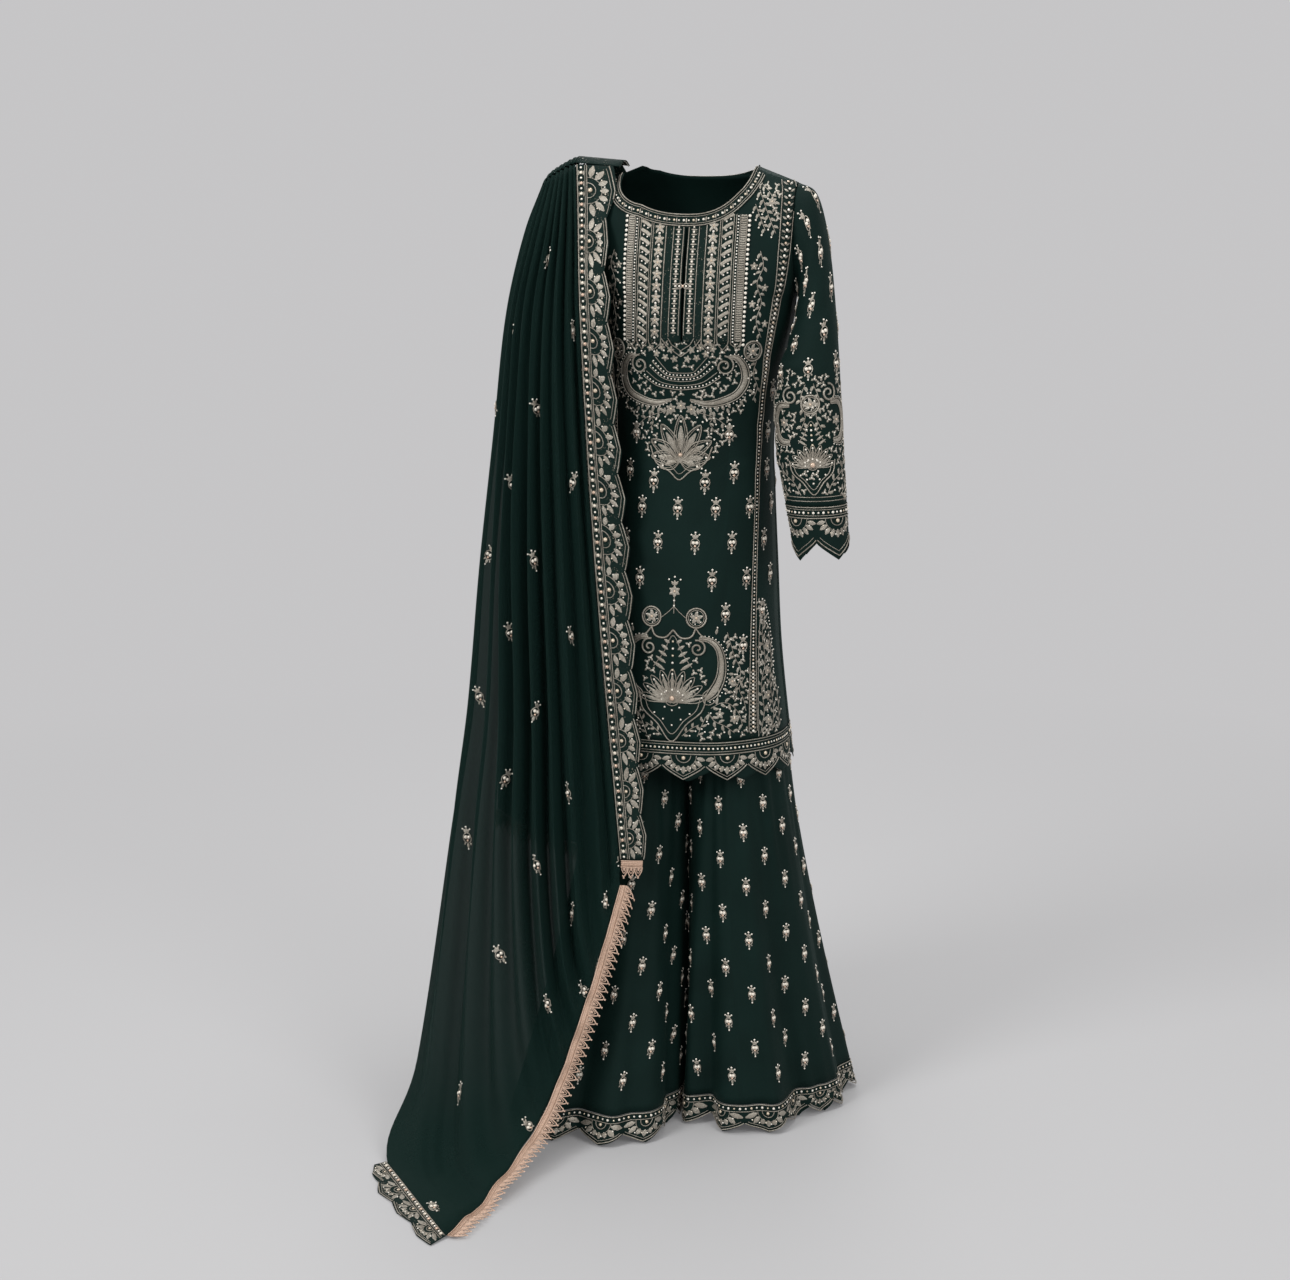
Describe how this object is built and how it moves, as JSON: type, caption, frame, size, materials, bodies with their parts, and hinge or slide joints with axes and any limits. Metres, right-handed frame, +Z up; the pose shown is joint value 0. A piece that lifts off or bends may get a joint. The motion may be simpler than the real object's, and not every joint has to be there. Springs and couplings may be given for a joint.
{
  "type": "gharara suit",
  "caption": "Worn three-piece gharara suit: long kurta with side slits and scalloped hem, two-legged flared gharara, and a sheer dupatta gathered on one shoulder and trailing on the floor.",
  "frame": {"origin": "the middle of the shoulder line at the base of the neck, where the wearer's shoulders carry the suit", "axes": "+Z up along the body, -Y out of the front of the suit, +X to the wearer's left"},
  "size_m": [0.6575, 0.9009, 1.495],
  "materials": {
    "georgette": "deep bottle-green georgette with a soft low sheen",
    "lining_cotton": "plain matt dark green cotton",
    "chiffon": "sheer dark green chiffon, nearly opaque where doubled",
    "embroidery": "dark green ground covered by antique gold thread, sequins, pearls and pale stones",
    "lace": "pinkish gold toothed lace"
  },
  "bodies": {
    "root": {"kurta_front": "georgette", "kurta_back": "georgette", "kurta_front_hem": "embroidery", "kurta_back_hem": "embroidery", "neck_band_front": "embroidery", "neck_band_back": "embroidery", "bib_right": "embroidery", "bib_left": "embroidery", "placket_hook": "embroidery", "braid_right": "embroidery", "braid_left": "embroidery", "sleeve_right": "georgette", "sleeve_left": "georgette", "cuff_right": "embroidery", "cuff_left": "embroidery", "waistband": "lining_cotton", "thigh_right": "lining_cotton", "thigh_left": "lining_cotton", "flare_right": "georgette", "flare_left": "georgette", "flare_hem_right": "embroidery", "flare_hem_left": "embroidery", "dupatta_front": "chiffon", "dupatta_shoulder": "chiffon", "dupatta_back": "chiffon", "border_front": "embroidery", "border_shoulder": "embroidery", "border_back": "embroidery", "border_tail": "embroidery", "lace_front": "lace", "lace_back": "lace"}
  },
  "joints": []
}
